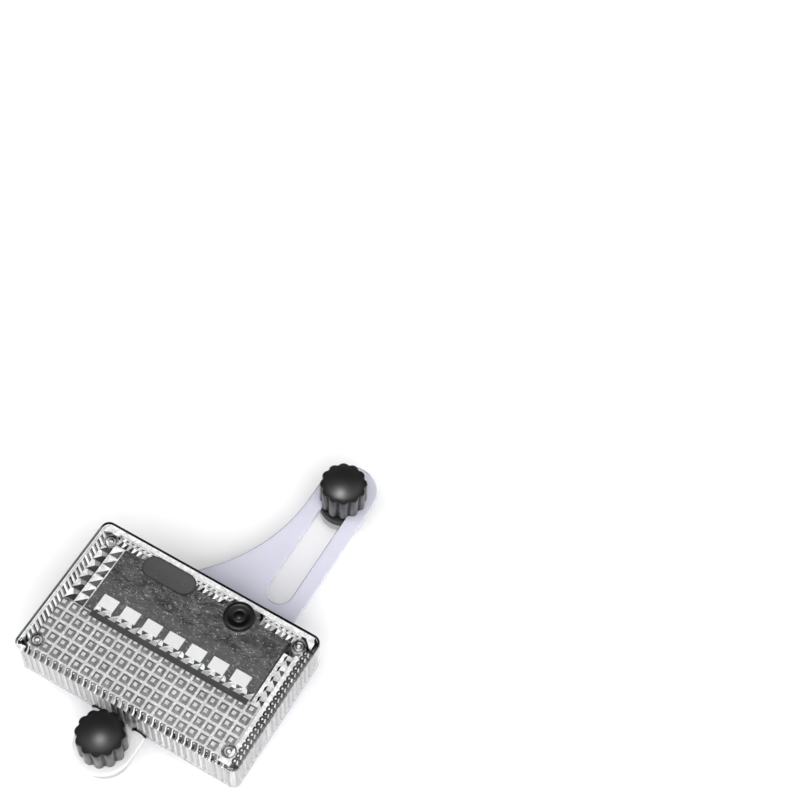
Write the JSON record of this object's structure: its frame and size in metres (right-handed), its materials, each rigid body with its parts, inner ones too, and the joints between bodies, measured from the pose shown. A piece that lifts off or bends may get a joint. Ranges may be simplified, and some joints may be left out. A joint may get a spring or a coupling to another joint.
{
  "type": "bicycle wheel light",
  "caption": "Clear rectangular LED light for a bicycle wheel, with a slotted bracket arm and thumb-knob clamps that grip the spokes.",
  "frame": {"origin": "middle of the outline in plan, on the plane of the clamp undersides", "axes": "+Z out of the lens face, +Y from the fixed lug towards the slotted arm, +X along the row of lamps towards the arm's side"},
  "size_m": [0.096, 0.1584, 0.029],
  "materials": {
    "clear_lens": "clear moulded polycarbonate",
    "clear_bracket": "clear moulded polycarbonate",
    "reflex_panel": "clear moulded acrylic",
    "gasket_rubber": "soft silicone",
    "screw_steel": "zinc plated",
    "bolt_steel": "zinc plated",
    "insert_brass": "turned",
    "knob_black": "satin moulded",
    "disc_grey": "translucent moulded",
    "pad_rubber": "soft moulded",
    "mask_black": "fine moulded grain",
    "badge_grey": "smooth",
    "diffuser_white": "opal moulded",
    "lamp_white": "moulded lamp package",
    "board_green": "solder masked",
    "chip_black": "moulded package",
    "tinned_metal": "tinned",
    "resistor_ceramic": "glazed ceramic",
    "capacitor_can": "drawn can",
    "sensor_can": "plated can",
    "switch_plastic": "moulded",
    "button_black": "satin moulded",
    "tray_black": "moulded",
    "cell_can": "plain sleeve on a metal can",
    "spring_steel": "nickel plated wire"
  },
  "bodies": {
    "lamp": {"front_lens": "clear_lens", "back_plate": "clear_bracket", "case_gasket": "gasket_rubber", "case_screws": "screw_steel", "reflector_panel": "reflex_panel", "light_baffle": "mask_black", "lamp_mask": "mask_black", "oval_badge": "badge_grey", "lamp_diffusers": "diffuser_white", "lamps": "lamp_white", "circuit_board": "board_green", "board_screws": "screw_steel", "controller_chip": "chip_black", "chip_legs": "tinned_metal", "resistors": "resistor_ceramic", "capacitors": "capacitor_can", "motion_sensor": "sensor_can", "switch_body": "switch_plastic", "battery_tray": "tray_black", "battery_cells": "cell_can", "battery_contacts": "tinned_metal", "battery_springs": "spring_steel", "lug_clamp_pad": "pad_rubber"},
    "button": {"button_cap": "button_black", "switch_stem": "switch_plastic"},
    "arm_carriage": {"arm_clamp_pad": "pad_rubber"},
    "arm_knob": {"arm_knob": "knob_black", "arm_knob_insert": "insert_brass"},
    "arm_clamp": {"arm_clamp_disc": "disc_grey", "arm_bolt": "bolt_steel"},
    "lug_knob": {"lug_knob": "knob_black", "lug_knob_insert": "insert_brass"},
    "lug_clamp": {"lug_clamp_disc": "disc_grey", "lug_bolt": "bolt_steel"}
  },
  "joints": [
    {"name": "button_press", "type": "slide", "parent": "lamp", "child": "button", "axis": [0, 0, -1], "range_m": [0, 0.0005], "stiffness_N_per_m": 3000, "springref_m": -0.0003},
    {"name": "arm_clamp_slide", "type": "slide", "parent": "lamp", "child": "arm_carriage", "axis": [0, -1, 0], "range_m": [-0.0038, 0.0468]},
    {"name": "arm_knob_turn", "type": "hinge", "parent": "arm_carriage", "child": "arm_knob", "pos_m": [0.0196, 0.064, 0.0104], "axis": [0, 0, 1], "range_deg": [0, 1440]},
    {"name": "arm_clamp_open", "type": "slide", "parent": "arm_carriage", "child": "arm_clamp", "axis": [0, 0, -1], "range_m": [0, 0.0033]},
    {"name": "lug_knob_turn", "type": "hinge", "parent": "lamp", "child": "lug_knob", "pos_m": [-0.0025, -0.0679, 0.0104], "axis": [0, 0, 1], "range_deg": [0, 1440]},
    {"name": "lug_clamp_open", "type": "slide", "parent": "lamp", "child": "lug_clamp", "axis": [0, 0, -1], "range_m": [0, 0.0033]}
  ],
  "couplings": [
    {"joint": "arm_clamp_open", "follows": "arm_knob_turn", "m_per_rad": 0.00012732},
    {"joint": "lug_clamp_open", "follows": "lug_knob_turn", "m_per_rad": 0.00012732}
  ]
}
